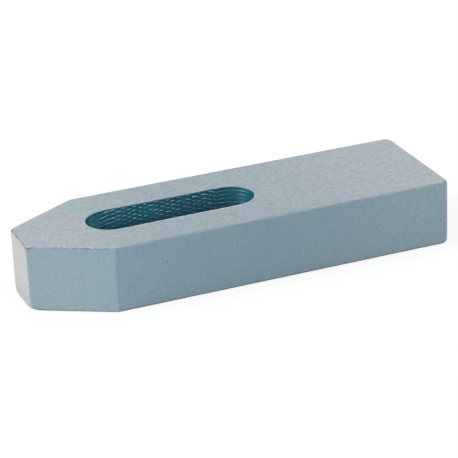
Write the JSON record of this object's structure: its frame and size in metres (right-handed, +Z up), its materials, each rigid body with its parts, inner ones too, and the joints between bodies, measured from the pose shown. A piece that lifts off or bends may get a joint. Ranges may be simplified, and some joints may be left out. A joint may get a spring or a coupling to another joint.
{
  "type": "strap clamp",
  "caption": "Flat steel strap clamp with a tapered blunt nose and a long through slot for a clamping bolt, used to hold workpieces on a machine table.",
  "frame": {"origin": "middle of the bottom face", "axes": "+Z up through the clamp's thickness, +Y along its length from the nose to the rear end, +X across it"},
  "size_m": [0.05, 0.16, 0.025],
  "materials": {
    "grey_blue_coating": "satin"
  },
  "bodies": {
    "root": {"strap": "grey_blue_coating"}
  },
  "joints": []
}
